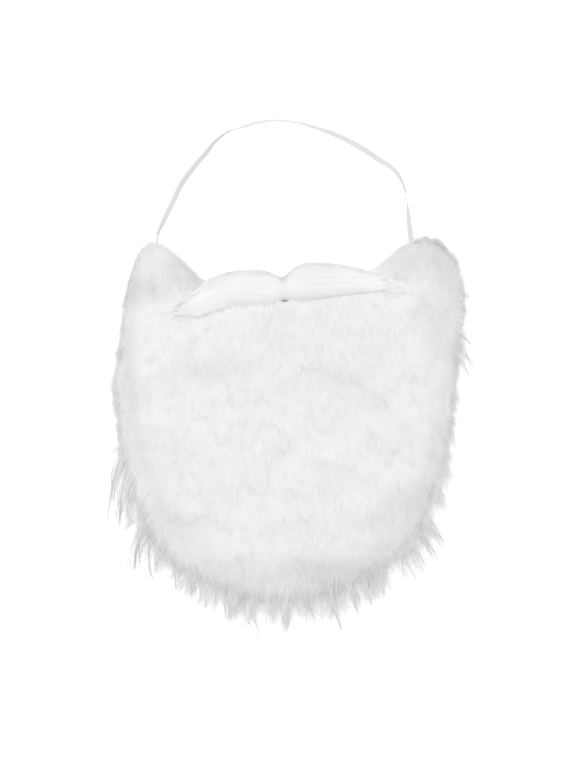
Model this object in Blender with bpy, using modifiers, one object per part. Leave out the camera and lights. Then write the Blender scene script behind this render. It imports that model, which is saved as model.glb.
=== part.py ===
"""Fake beard: deep white plush on a knitted backing, with a moustache and an elastic strap.

It lies on a flat surface with the pile upward. +Y runs from the chin to the ears, +X is the
right side as one looks down on the pile, and z = 0 is the surface. The origin lies on the
surface, below the middle of the moustache, where the wearer's mouth comes.
"""
import math
import random
from collections import namedtuple

import bmesh
import bpy
from mathutils import Matrix
from mathutils import Vector
from mathutils.geometry import interpolate_bezier
from mathutils.geometry import intersect_point_line

# Driving sizes, in metres

BEARD_WIDTH = 0.300
CHIN_DROP = 0.266
EAR_RISE = 0.053

BACKING_THICKNESS = 0.0016
BACKING_INSET = 0.006

PILE_HEIGHT = 0.022
PILE_ROLL = 0.034
RIM_HEIGHT = 0.0035
EAR_PILE = 0.50

LOCK_LENGTH = 0.034
LOCK_WIDTH = 0.017
LOCK_ROOT = 0.012
LOCK_FLATNESS = 0.50
TIP_SHARE = 0.08

MOUSTACHE_WIDTH = 0.236
MOUSTACHE_HEIGHT = 0.034
MOUSTACHE_DEPTH = 0.020

STRAP_WIDTH = 0.005
STRAP_THICKNESS = 0.0008
PARTING_LENGTH = 0.012

# Clearances between pieces, and between the lowest fur and the surface

GAP = 0.0003
SLOT_GAP = 0.0004
FLOOR_GAP = 0.0003

# How finely the forms are drawn

COLUMNS = 36
ROWS = 38
CURVE_STEPS = 12
BACKING_POINTS = 24
LOCK_POINTS = 5
RIM_STATIONS = 201
RING_POINTS = 10
STRAP_POINTS = 74
WELD = 0.00001

# Heights at which the layers meet

FUR_BOTTOM = BACKING_THICKNESS + GAP
HALF_WIDTH = BEARD_WIDTH / 2

# The four edges of the dense pile, seen from above. Across is a share of half the beard's
# width. Height is a share of EAR_RISE above the mouth, and of CHIN_DROP below it.

Edge = namedtuple("Edge", "across height")

LEFT_SIDE = [
    Edge(-0.79, 0.98),
    Edge(-0.86, 0.86),
    Edge(-0.90, 0.58),
    Edge(-0.94, 0.16),
    Edge(-0.96, -0.06),
    Edge(-0.98, -0.17),
    Edge(-1.01, -0.28),
    Edge(-0.99, -0.38),
    Edge(-0.97, -0.48),
    Edge(-0.92, -0.59),
    Edge(-0.86, -0.71),
    Edge(-0.77, -0.81),
]
RIGHT_SIDE = [
    Edge(0.83, 1.05),
    Edge(0.91, 1.02),
    Edge(0.99, 0.84),
    Edge(1.04, 0.56),
    Edge(1.07, 0.16),
    Edge(1.06, -0.08),
    Edge(1.03, -0.20),
    Edge(1.02, -0.34),
    Edge(1.01, -0.45),
    Edge(1.00, -0.56),
    Edge(0.95, -0.67),
    Edge(0.86, -0.81),
]
TOP_EDGE = [
    Edge(-0.79, 0.98),
    Edge(-0.73, 0.95),
    Edge(-0.66, 0.82),
    Edge(-0.58, 0.62),
    Edge(-0.49, 0.36),
    Edge(-0.36, 0.22),
    Edge(0.00, 0.24),
    Edge(0.38, 0.34),
    Edge(0.50, 0.48),
    Edge(0.59, 0.66),
    Edge(0.67, 0.86),
    Edge(0.75, 0.99),
    Edge(0.83, 1.05),
]
HEM = [
    Edge(-0.77, -0.81),
    Edge(-0.66, -0.88),
    Edge(-0.51, -0.935),
    Edge(-0.34, -0.975),
    Edge(-0.13, -1.00),
    Edge(0.10, -1.00),
    Edge(0.32, -0.975),
    Edge(0.52, -0.935),
    Edge(0.70, -0.88),
    Edge(0.86, -0.81),
]

# Soft ridges and dents in the pile. Length and breadth are shares of the beard's width,
# rise is a share of the pile's height, turn is in degrees from +X.

Fold = namedtuple("Fold", "across height length breadth rise turn")

FOLDS = [
    Fold(0.63, -0.35, 0.150, 0.028, 0.13, -41),
    Fold(0.42, -0.32, 0.120, 0.040, -0.12, -30),
    Fold(0.36, -0.56, 0.110, 0.030, 0.11, -17),
    Fold(0.62, -0.53, 0.100, 0.035, -0.10, -24),
    Fold(-0.44, -0.28, 0.130, 0.040, -0.10, 3),
    Fold(-0.79, -0.27, 0.080, 0.030, 0.11, 2),
    Fold(-0.74, -0.45, 0.090, 0.030, 0.09, 0),
    Fold(-0.48, -0.60, 0.060, 0.028, 0.08, 45),
    Fold(0.05, -0.74, 0.110, 0.035, 0.08, -5),
    Fold(-0.02, -0.20, 0.110, 0.060, -0.08, -70),
    Fold(-0.12, -0.86, 0.170, 0.026, 0.14, 4),
    Fold(0.10, -0.94, 0.190, 0.028, -0.13, 8),
    Fold(-0.62, -0.80, 0.090, 0.035, -0.12, -35),
    Fold(0.72, -0.72, 0.090, 0.035, -0.12, 38),
]

# Runs of pointed locks round the rim. First and last are shares along the edge. Lengths,
# width and lift are shares of LOCK_LENGTH, LOCK_WIDTH and PILE_HEIGHT. Lean is in degrees
# from straight down the beard, outward at the sides and from left to right along the hem.

Run = namedtuple("Run", "edge first last count long_first long_last width lift lean_first lean_last")

LOCK_RUNS = [
    Run("left", 0.30, 0.46, 4, 0.14, 0.22, 0.45, 0.22, 60, 50),
    Run("left", 0.50, 0.68, 6, 0.16, 0.42, 0.70, 0.22, 36, 28),
    Run("left", 0.70, 0.97, 8, 0.66, 0.86, 0.95, 0.20, 26, 22),
    Run("hem", 0.01, 0.20, 6, 0.80, 0.70, 1.00, 0.22, -30, -26),
    Run("hem", 0.22, 0.34, 4, 0.72, 0.86, 1.00, 0.22, -20, -12),
    Run("hem", 0.37, 0.68, 9, 1.00, 0.92, 1.05, 0.24, -9, 10),
    Run("hem", 0.31, 0.71, 8, 0.60, 0.60, 1.00, 0.52, -12, 12),
    Run("hem", 0.70, 0.98, 9, 0.78, 0.66, 1.00, 0.22, 14, 32),
    Run("right", 0.80, 0.98, 5, 0.58, 0.66, 0.90, 0.24, 34, 30),
    Run("right", 0.58, 0.78, 6, 0.50, 0.56, 0.85, 0.24, 36, 34),
    Run("right", 0.22, 0.55, 9, 0.40, 0.54, 0.75, 0.28, 46, 40),
]
LOCK_UNEVENNESS = 0.18
LOCK_SWAY = 7.0
LOCK_BEND = 0.18
LOCK_FULLNESS = 0.7
LOCK_DROOP = 1.4
SEED = 11

# Sections of the moustache, from the left tail through the pinch to the right tail. Across
# is a share of half its width. Height and tall are shares of MOUSTACHE_HEIGHT, deep is a
# share of MOUSTACHE_DEPTH, and foot, where its underside lies, is a share of PILE_HEIGHT.

Section = namedtuple("Section", "across height tall deep foot")

MOUSTACHE = [
    Section(-1.00, -0.40, 0.10, 0.10, 0.88),
    Section(-0.87, -0.37, 0.20, 0.24, 0.82),
    Section(-0.75, -0.27, 0.50, 0.44, 0.70),
    Section(-0.66, -0.11, 0.92, 0.66, 0.54),
    Section(-0.57, 0.06, 1.06, 0.84, 0.39),
    Section(-0.43, 0.26, 1.02, 0.96, 0.27),
    Section(-0.27, 0.32, 1.04, 1.00, 0.24),
    Section(-0.13, 0.30, 1.00, 0.94, 0.27),
    Section(-0.05, 0.27, 0.76, 0.72, 0.37),
    Section(0.00, 0.27, 0.50, 0.58, 0.44),
    Section(0.04, 0.36, 0.86, 0.74, 0.36),
    Section(0.12, 0.45, 1.08, 0.96, 0.27),
    Section(0.25, 0.48, 1.08, 1.02, 0.24),
    Section(0.39, 0.50, 0.96, 0.92, 0.32),
    Section(0.54, 0.50, 0.76, 0.74, 0.44),
    Section(0.68, 0.44, 0.56, 0.54, 0.59),
    Section(0.83, 0.32, 0.30, 0.32, 0.75),
    Section(0.97, 0.24, 0.14, 0.14, 0.86),
]

# The elastic strap's route from the left ear to the right one, in millimetres. Turn is how
# far the band is rolled from lying flat, in degrees. Rise lifts its lower edge off the
# surface, as a share of the height at which the pile starts above the backing.

Stop = namedtuple("Stop", "x y turn rise")

MM = 0.001
STRAP_ROUTE = [
    Stop(-113.6, 41.5, 72, 1.0),
    Stop(-113.9, 48.0, 76, 0.9),
    Stop(-114.0, 55.5, 78, 0.0),
    Stop(-112.3, 62.1, 60, 0.0),
    Stop(-108.3, 71.1, 30, 0.0),
    Stop(-100.2, 87.9, 22, 0.0),
    Stop(-91.8, 104.9, 20, 0.0),
    Stop(-80.6, 120.2, 24, 0.0),
    Stop(-70.0, 132.2, 38, 0.0),
    Stop(-62.1, 142.2, 58, 0.0),
    Stop(-50.4, 151.2, 78, 0.0),
    Stop(-43.2, 153.7, 92, 0.0),
    Stop(-34.2, 156.6, 130, 0.0),
    Stop(-25.2, 159.3, 124, 0.0),
    Stop(-7.2, 161.6, 112, 0.0),
    Stop(10.8, 159.8, 116, 0.0),
    Stop(28.8, 154.8, 132, 0.0),
    Stop(47.7, 148.1, 160, 0.0),
    Stop(66.6, 138.6, 176, 0.0),
    Stop(84.6, 126.9, 172, 0.0),
    Stop(99.9, 116.1, 150, 0.0),
    Stop(107.6, 102.6, 116, 0.0),
    Stop(110.3, 90.0, 92, 0.0),
    Stop(111.6, 78.3, 52, 0.0),
    Stop(112.5, 69.3, 22, 0.0),
    Stop(113.6, 60.3, 6, 0.3),
    Stop(114.5, 52.2, 2, 1.6),
    Stop(114.8, 45.5, 0, 2.8),
]


def clear_scene():
    """Remove whatever the file already holds."""
    for old in list(bpy.data.objects):
        bpy.data.objects.remove(old, do_unlink=True)


def new_collection(name):
    collection = bpy.data.collections.new(name)
    bpy.context.scene.collection.children.link(collection)
    return collection


def material(name, colour, roughness):
    made = bpy.data.materials.new(name)
    made.use_nodes = True
    shader = made.node_tree.nodes["Principled BSDF"]
    shader.inputs["Base Color"].default_value = (*colour, 1.0)
    shader.inputs["Roughness"].default_value = roughness
    shader.inputs["Metallic"].default_value = 0.0
    made.diffuse_color = (*colour, 1.0)
    return made


def mesh_object(name, mesh, collection, surface=None):
    made = bpy.data.objects.new(name, mesh)
    collection.objects.link(made)
    if surface:
        mesh.materials.append(surface)
    return made


def as_helper(helper):
    """Mark an object as a cutter or a guide."""
    helper.hide_render = True
    helper.display_type = "WIRE"
    return helper


def smooth_through(points):
    """Close-set points on a smooth curve through the given ones."""
    last = len(points) - 1
    slopes = []
    for i, point in enumerate(points):
        before = points[max(i - 1, 0)]
        after = points[min(i + 1, last)]
        run = (after - point).length + (point - before).length
        slopes.append((after - before) / run)
    curve = []
    for i in range(last):
        reach = (points[i + 1] - points[i]).length / 3
        stretch = interpolate_bezier(
            points[i],
            points[i] + slopes[i] * reach,
            points[i + 1] - slopes[i + 1] * reach,
            points[i + 1],
            CURVE_STEPS,
        )
        curve.extend(stretch if i == 0 else stretch[1:])
    return curve


def stations(curve, count):
    """Evenly spaced stations on a curve, each as the point before it and the share beyond."""
    lengths = [0.0]
    for a, b in zip(curve, curve[1:]):
        lengths.append(lengths[-1] + (b - a).length)
    found = []
    place = 0
    for i in range(count):
        target = lengths[-1] * i / (count - 1)
        while place < len(curve) - 2 and lengths[place + 1] < target:
            place += 1
        step = lengths[place + 1] - lengths[place]
        found.append((place, (target - lengths[place]) / step))
    return found


def spaced(curve, count):
    """As many points as asked for, evenly spaced along a curve."""
    return [curve[i].lerp(curve[i + 1], share) for i, share in stations(curve, count)]


def plan_point(across, height):
    """A place in the beard's plan, from its shares."""
    span = EAR_RISE if height > 0 else CHIN_DROP
    return Vector((across * HALF_WIDTH, height * span, 0.0))


def edge_curve(rows, count):
    """Evenly spaced points along one edge of the dense pile."""
    return spaced(smooth_through([plan_point(row.across, row.height) for row in rows]), count)


def outline(columns, rows):
    """The closed plan of the dense pile, anticlockwise from the left ear's tip."""
    left = edge_curve(LEFT_SIDE, rows + 1)
    hem = edge_curve(HEM, columns + 1)
    right = edge_curve(RIGHT_SIDE, rows + 1)
    top = edge_curve(TOP_EDGE, columns + 1)
    return left[:-1] + hem[:-1] + right[:0:-1] + top[:0:-1]


def edge_distance(point, ring):
    """How far a point in the plan lies from the rim."""
    nearest = BEARD_WIDTH
    for a, b in zip(ring, ring[1:] + ring[:1]):
        foot, share = intersect_point_line(point, a, b)
        foot = a if share < 0 else b if share > 1 else foot
        nearest = min(nearest, (point - foot).length)
    return nearest


def folded(point):
    """How far the ridges and dents lift the pile at a point, as a share of its height."""
    lift = 0.0
    for fold in FOLDS:
        offset = point - plan_point(fold.across, fold.height)
        turn = math.radians(fold.turn)
        along = offset.x * math.cos(turn) + offset.y * math.sin(turn)
        beside = offset.y * math.cos(turn) - offset.x * math.sin(turn)
        along /= fold.length * BEARD_WIDTH
        beside /= fold.breadth * BEARD_WIDTH
        lift += fold.rise * math.exp(-along * along - beside * beside)
    return lift


def pile_top(point, ring):
    """Height of the pile's top: low at the rim, rolling up to the full pile, lower on the ears."""
    roll = min(edge_distance(point, ring) / PILE_ROLL, 1.0)
    round_off = math.sqrt(1 - (1 - roll) ** 2)
    ear = min(max(point.y / EAR_RISE, 0.0), 1.0)
    full = PILE_HEIGHT * (1 - (1 - EAR_PILE) * ear)
    lift = round_off * (1 + folded(point))
    return FUR_BOTTOM + RIM_HEIGHT + (full - RIM_HEIGHT) * lift


def pile_grid():
    """Rows of plan points that fill the outline, blended from its four edges."""
    left = edge_curve(LEFT_SIDE, ROWS + 1)
    right = edge_curve(RIGHT_SIDE, ROWS + 1)
    top = edge_curve(TOP_EDGE, COLUMNS + 1)
    hem = edge_curve(HEM, COLUMNS + 1)
    grid = []
    for r in range(ROWS + 1):
        down = r / ROWS
        row = []
        for c in range(COLUMNS + 1):
            over = c / COLUMNS
            between_sides = left[r].lerp(right[r], over)
            between_ends = top[c].lerp(hem[c], down)
            corners = top[0].lerp(top[-1], over).lerp(hem[0].lerp(hem[-1], over), down)
            row.append(between_sides + between_ends - corners)
        grid.append(row)
    return grid


def dense_pile(collection, surface):
    """The dense pile as one closed body: a rolled top, a low wall and a flat underside."""
    ring = outline(COLUMNS, ROWS)
    mesh = bmesh.new()
    grid = []
    for row in pile_grid():
        grid.append([mesh.verts.new((p.x, p.y, pile_top(p, ring))) for p in row])
    for upper, lower in zip(grid, grid[1:]):
        for c in range(COLUMNS):
            mesh.faces.new((upper[c], lower[c], lower[c + 1], upper[c + 1]))
    rim = [row[0] for row in grid[:-1]] + grid[-1][:-1]
    rim += [row[-1] for row in grid[:0:-1]] + grid[0][:0:-1]
    foot = [mesh.verts.new((v.co.x, v.co.y, FUR_BOTTOM)) for v in rim]
    for i in range(len(rim)):
        after = (i + 1) % len(rim)
        mesh.faces.new((rim[i], foot[i], foot[after], rim[after]))
    mesh.faces.new(foot[::-1])
    bmesh.ops.recalc_face_normals(mesh, faces=mesh.faces)
    body = bpy.data.meshes.new("beard_fur")
    mesh.to_mesh(body)
    mesh.free()
    return mesh_object("beard_fur", body, collection, surface)


def taper(share):
    """A lock's width along its length: full at the root, pointed at the tip."""
    return TIP_SHARE + (1 - TIP_SHARE) * (1 - share) ** LOCK_FULLNESS


def as_mesh(source, collection):
    """A curve turned into a mesh with welded caps, in the same place."""
    graph = bpy.context.evaluated_depsgraph_get()
    mesh = bpy.data.meshes.new_from_object(source.evaluated_get(graph))
    tidy = bmesh.new()
    tidy.from_mesh(mesh)
    bmesh.ops.remove_doubles(tidy, verts=tidy.verts, dist=WELD)
    bmesh.ops.recalc_face_normals(tidy, faces=tidy.faces)
    tidy.to_mesh(mesh)
    tidy.free()
    made = mesh_object(source.name + "_mesh", mesh, collection)
    made.matrix_world = source.matrix_world
    bpy.data.objects.remove(source, do_unlink=True)
    return made


def make_lock(name, route, width, collection):
    """One pointed lock: a tapering tube along its route, pressed flat."""
    curve = bpy.data.curves.new(name, "CURVE")
    curve.dimensions = "3D"
    curve.bevel_depth = width / 2
    curve.bevel_resolution = 1
    curve.use_fill_caps = True
    spline = curve.splines.new("POLY")
    spline.points.add(len(route) - 1)
    for i, place in enumerate(route):
        share = i / (len(route) - 1)
        spline.points[i].co = (place.x, place.y, place.z / LOCK_FLATNESS, 1.0)
        spline.points[i].radius = taper(share)
    tube = bpy.data.objects.new(name, curve)
    collection.objects.link(tube)
    lock = as_helper(as_mesh(tube, collection))
    lock.data.transform(Matrix.Diagonal((1.0, 1.0, LOCK_FLATNESS, 1.0)))
    return lock


def lock_route(root, lean, length, width, lift):
    """A lock leaves the pile at its lift, bends down the beard and comes to the surface."""
    heading = Vector((math.sin(lean), -math.cos(lean), 0.0))
    bend = Vector((0.0, -LOCK_BEND * length, 0.0))
    start = root - heading * LOCK_ROOT
    half_thick = LOCK_FLATNESS * width / 2
    high = max(lift, FUR_BOTTOM + half_thick)
    low = FLOOR_GAP + TIP_SHARE * half_thick
    route = []
    for i in range(LOCK_POINTS):
        share = i / (LOCK_POINTS - 1)
        place = start + heading * (LOCK_ROOT + length) * share + bend * share * share
        height = high + (low - high) * share ** LOCK_DROOP
        place.z = max(height, FLOOR_GAP + half_thick * taper(share))
        route.append(place)
    return route


def make_locks(collection):
    """The locks of every run, each a closed body rooted in the dense pile."""
    edges = {"left": LEFT_SIDE, "right": RIGHT_SIDE, "hem": HEM}
    chance = random.Random(SEED)
    number = 0
    for run in LOCK_RUNS:
        rim = edge_curve(edges[run.edge], RIM_STATIONS)
        side = -1 if run.edge == "left" else 1
        for i in range(run.count):
            share = (i + 0.5) / run.count
            place = run.first + (run.last - run.first) * share
            long = run.long_first + (run.long_last - run.long_first) * share
            lean = run.lean_first + (run.lean_last - run.lean_first) * share
            lean = math.radians(side * lean + chance.uniform(-LOCK_SWAY, LOCK_SWAY))
            uneven = 1 + chance.uniform(-LOCK_UNEVENNESS, LOCK_UNEVENNESS)
            width = run.width * LOCK_WIDTH
            length = long * LOCK_LENGTH * uneven
            root = rim[round(place * (RIM_STATIONS - 1))]
            route = lock_route(root, lean, length, width, run.lift * PILE_HEIGHT)
            make_lock(f"lock_{number:02d}", route, width, collection)
            number += 1


def moustache_mesh(name, grow):
    """A coarse cage of rings through the moustache's sections, each ring grown by a clearance."""
    mesh = bmesh.new()
    rings = []
    for row in MOUSTACHE:
        x = row.across * (MOUSTACHE_WIDTH / 2 + grow)
        tall = row.tall * MOUSTACHE_HEIGHT / 2 + grow
        deep = row.deep * MOUSTACHE_DEPTH / 2 + grow
        middle = FUR_BOTTOM + row.foot * PILE_HEIGHT + row.deep * MOUSTACHE_DEPTH / 2
        ring = []
        for i in range(RING_POINTS):
            angle = 2 * math.pi * i / RING_POINTS
            y = row.height * MOUSTACHE_HEIGHT + tall * math.cos(angle)
            ring.append(mesh.verts.new((x, y, middle + deep * math.sin(angle))))
        rings.append(ring)
    for near, far in zip(rings, rings[1:]):
        for i in range(RING_POINTS):
            after = (i + 1) % RING_POINTS
            mesh.faces.new((near[i], near[after], far[after], far[i]))
    mesh.faces.new(rings[0])
    mesh.faces.new(rings[-1][::-1])
    bmesh.ops.recalc_face_normals(mesh, faces=mesh.faces)
    made = bpy.data.meshes.new(name)
    mesh.to_mesh(made)
    mesh.free()
    return made


def make_moustache(name, collection, surface=None, grow=0.0):
    made = mesh_object(name, moustache_mesh(name, grow), collection, surface)
    soften = made.modifiers.new("Soft form", "SUBSURF")
    soften.levels = 1
    soften.render_levels = 1
    made.data.shade_smooth()
    return made


def strap_line():
    """The strap's places and rolls, read from smooth curves through the chosen stops."""
    places = []
    for stop in STRAP_ROUTE:
        places.append(Vector((stop.x * MM, stop.y * MM, stop.rise * FUR_BOTTOM)))
    curve = smooth_through(places)
    rolls = []
    for here, after in zip(STRAP_ROUTE, STRAP_ROUTE[1:]):
        for i in range(CURVE_STEPS - 1):
            share = i / (CURVE_STEPS - 1)
            eased = share * share * (3 - 2 * share)
            rolls.append(math.radians(here.turn + (after.turn - here.turn) * eased))
    rolls.append(math.radians(STRAP_ROUTE[-1].turn))
    line = []
    for i, share in stations(curve, STRAP_POINTS):
        place = curve[i].lerp(curve[i + 1], share)
        roll = rolls[i] + (rolls[i + 1] - rolls[i]) * share
        half_wide = STRAP_WIDTH / 2 * abs(math.sin(roll))
        half_thick = STRAP_THICKNESS / 2 * abs(math.cos(roll))
        place.z += FLOOR_GAP + half_wide + half_thick
        line.append((place, roll))
    return line


def make_strap(name, collection, surface=None, grow=0.0):
    """The flat band as a curve, rolled along its length and resting on its lower edge."""
    curve = bpy.data.curves.new(name, "CURVE")
    curve.dimensions = "3D"
    curve.twist_mode = "Z_UP"
    curve.extrude = (STRAP_WIDTH - STRAP_THICKNESS) / 2
    curve.bevel_depth = STRAP_THICKNESS / 2 + grow
    curve.bevel_resolution = 0
    curve.use_fill_caps = True
    line = strap_line()
    spline = curve.splines.new("POLY")
    spline.points.add(len(line) - 1)
    for i, (place, roll) in enumerate(line):
        spline.points[i].co = (*place, 1.0)
        spline.points[i].tilt = math.pi / 2 + roll
    made = bpy.data.objects.new(name, curve)
    collection.objects.link(made)
    if surface:
        curve.materials.append(surface)
    return made


def make_backing(collection, surface):
    """The knitted backing: the pile's outline drawn in, lying flat on the surface."""
    ring = outline(BACKING_POINTS, BACKING_POINTS)
    curve = bpy.data.curves.new("backing", "CURVE")
    curve.dimensions = "2D"
    curve.fill_mode = "BOTH"
    curve.extrude = BACKING_THICKNESS / 2
    spline = curve.splines.new("POLY")
    spline.points.add(len(ring) - 1)
    for i, point in enumerate(ring):
        along = (ring[(i + 1) % len(ring)] - ring[i - 1]).normalized()
        inward = Vector((-along.y, along.x, 0.0))
        drawn_in = point + inward * BACKING_INSET
        spline.points[i].co = (drawn_in.x, drawn_in.y, 0.0, 1.0)
    spline.use_cyclic_u = True
    made = bpy.data.objects.new("backing", curve)
    made.location.z = BACKING_THICKNESS / 2
    collection.objects.link(made)
    curve.materials.append(surface)
    return made


def boolean(target, operation, cutter=None, group=None):
    step = target.modifiers.new(operation.title(), "BOOLEAN")
    step.operation = operation
    step.solver = "EXACT"
    if group:
        step.operand_type = "COLLECTION"
        step.collection = group
    else:
        step.object = cutter
    return step


def make_parting(collection):
    """A box that parts the pile above the strap's right end, where the strap shows."""
    line = strap_line()
    end = line[-1][0]
    way_in = (end - line[-2][0]).normalized()
    turn = way_in.to_track_quat("Y", "Z").to_matrix().to_4x4()
    size = Matrix.Diagonal((STRAP_WIDTH + 2 * SLOT_GAP, PARTING_LENGTH, PILE_HEIGHT, 1.0))
    middle = Vector((0.0, SLOT_GAP - PARTING_LENGTH / 2, PILE_HEIGHT / 2))
    mesh = bmesh.new()
    bmesh.ops.create_cube(mesh, size=1.0)
    mesh.transform(Matrix.Translation(end) @ turn @ Matrix.Translation(middle) @ size)
    box = bpy.data.meshes.new("parting")
    mesh.to_mesh(box)
    mesh.free()
    return mesh_object("parting", box, collection)


def build():
    clear_scene()
    parts = new_collection("fake_beard")
    cutters = new_collection("cutters")
    locks = new_collection("locks")
    plush = material("white plush", (0.90, 0.90, 0.90), 0.85)
    fibre = material("white combed fibre", (0.93, 0.93, 0.94), 0.55)
    knit = material("white knit", (0.84, 0.84, 0.83), 0.90)
    elastic = material("white elastic", (0.88, 0.88, 0.87), 0.70)

    make_backing(parts, knit)
    make_moustache("moustache", parts, fibre)
    make_strap("elastic_strap", parts, elastic)

    fur = dense_pile(parts, plush)
    make_locks(locks)
    bed = as_helper(make_moustache("moustache_bed", cutters, grow=SLOT_GAP))
    slot = as_helper(as_mesh(make_strap("strap_slot", cutters, grow=SLOT_GAP), cutters))
    parting = as_helper(make_parting(cutters))
    boolean(fur, "UNION", group=locks)
    boolean(fur, "DIFFERENCE", bed)
    boolean(fur, "DIFFERENCE", slot)
    boolean(fur, "DIFFERENCE", parting)


build()
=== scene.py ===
"""Visual model of a fake beard: white plush pile, a combed moustache and an elastic strap."""
import math
from collections import namedtuple

import bpy
import numpy as np
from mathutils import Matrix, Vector
from mathutils.bvhtree import BVHTree
from mathutils.geometry import interpolate_bezier


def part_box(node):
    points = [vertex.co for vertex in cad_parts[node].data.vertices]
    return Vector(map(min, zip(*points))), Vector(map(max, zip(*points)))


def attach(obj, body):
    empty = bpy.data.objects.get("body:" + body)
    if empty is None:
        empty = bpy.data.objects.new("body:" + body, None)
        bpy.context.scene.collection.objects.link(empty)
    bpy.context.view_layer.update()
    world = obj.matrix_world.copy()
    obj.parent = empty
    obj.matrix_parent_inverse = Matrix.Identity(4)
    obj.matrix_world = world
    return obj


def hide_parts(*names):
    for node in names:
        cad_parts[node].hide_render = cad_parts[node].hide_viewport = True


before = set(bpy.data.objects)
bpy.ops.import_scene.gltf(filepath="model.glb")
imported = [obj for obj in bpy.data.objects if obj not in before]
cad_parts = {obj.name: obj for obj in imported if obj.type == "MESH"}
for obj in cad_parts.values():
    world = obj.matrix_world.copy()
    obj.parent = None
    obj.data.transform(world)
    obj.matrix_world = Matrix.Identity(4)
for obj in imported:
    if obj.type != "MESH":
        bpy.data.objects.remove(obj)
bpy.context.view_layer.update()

# Scale and place of the photograph

MM = 0.001
PIXEL = 0.0009
ORIGIN_ACROSS = 284.0
ORIGIN_DOWN = 300.0
PICTURE_WIDE = 576
PICTURE_TALL = 768

# Camera and light

LENS = 120.0
SENSOR = 36.0
WORLD_STRENGTH = 0.56
KEY_POWER = 43.5
KEY_SIZE = 2.4
KEY_PLACE = (-0.3, 0.8, 2.5)
KEY_AIM = (0.0, -0.08, 0.0)
FLOOR_GLOW = 0.42
FLOOR_SIZE = 12.0
FLOOR_DROP = 0.0002
FLOOR_TONE = (0.90, 0.90, 0.90, 1.0)
WHITE = (1.0, 1.0, 1.0, 1.0)

# Layers of the beard, in metres

FUR_BOTTOM = 0.0019
BACKING_INSET = 0.006
RIM_TOP = 0.0054
LOWEST_STRAND = 0.0005
DRAPE_REACH = 0.016

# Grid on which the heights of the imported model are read

CELL = 0.0015
LOW_X = -0.207
LOW_Y = -0.330
HIGH_X = 0.207
HIGH_Y = 0.100

SEED = 5
chance = np.random.default_rng(SEED)


def eased(share):
    """A share from 0 to 1 that starts and ends gently."""
    return share * share * (3 - 2 * share)


def unit(arrows):
    """Arrows scaled to a length of one, in an array of any shape."""
    return arrows / np.maximum(np.linalg.norm(arrows, axis=-1), 1e-9)[..., None]


def towards(start, end, share):
    """A value that lies a share of the way from one to another."""
    return start + (end - start) * share


def placed(name, data):
    """An object put into the scene."""
    made = bpy.data.objects.new(name, data)
    bpy.context.scene.collection.objects.link(made)
    return made


def add_piece(name, mesh, look):
    """A piece that moves with the beard, with its finish."""
    mesh.materials.append(SURFACES[look])
    piece = placed(name, mesh)
    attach(piece, "root")
    return piece


def mesh_from(name, points, faces):
    mesh = bpy.data.meshes.new(name)
    mesh.from_pydata([tuple(p) for p in points], [], faces)
    mesh.update()
    mesh.shade_smooth()
    return mesh


def tube_faces(stations, ring):
    """Faces of a closed tube made of rings of points, with a flat face at each end."""
    faces = []
    last = (stations - 1) * ring
    for here in range(0, last, ring):
        there = here + ring
        for j in range(ring):
            after = (j + 1) % ring
            faces.append((here + j, here + after, there + after, there + j))
    faces.append(tuple(range(ring))[::-1])
    faces.append(tuple(range(last, last + ring)))
    return faces


# Materials

Look = namedtuple("Look", "light dark roughness sheen specular grain grain_share patch bump")

LOOKS = {
    "plush": Look((0.928, 0.928, 0.928), (0.90, 0.90, 0.905), 0.85, 0.10, 0.15, 900, 0.1, 42, 0.02),
    "loose_hair": Look((0.93, 0.93, 0.93), (0.90, 0.90, 0.905), 0.85, 0.05, 0.1, 900, 0.1, 42, 0.02),
    "combed_fibre": Look((0.985, 0.985, 0.985), (0.96, 0.96, 0.975), 0.60, 0.12, 0.20, 900, 0.4, 38, 0.05),
    "knit": Look((0.86, 0.86, 0.85), (0.74, 0.74, 0.73), 0.90, 0.20, 0.20, 620, 1.0, 30, 0.60),
    # The elastic's grey tones are partly its own colour and partly painted shade, in place of the shadow
    # along its edges that the glowing floor washes out
    "elastic": Look((0.80, 0.80, 0.81), (0.70, 0.70, 0.72), 0.70, 0.05, 0.20, 1500, 1.0, 40, 0.45),
}


PATCH_DETAIL = 4.0
GRAIN_DETAIL = 2.0
TONES_FROM = 0.35
TONES_TO = 0.65
BUMP_DISTANCE = 0.0004


def set_inputs(node, values):
    """Sets a node's own inputs, by name or number."""
    for key, value in values.items():
        node.inputs[key].default_value = value


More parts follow.
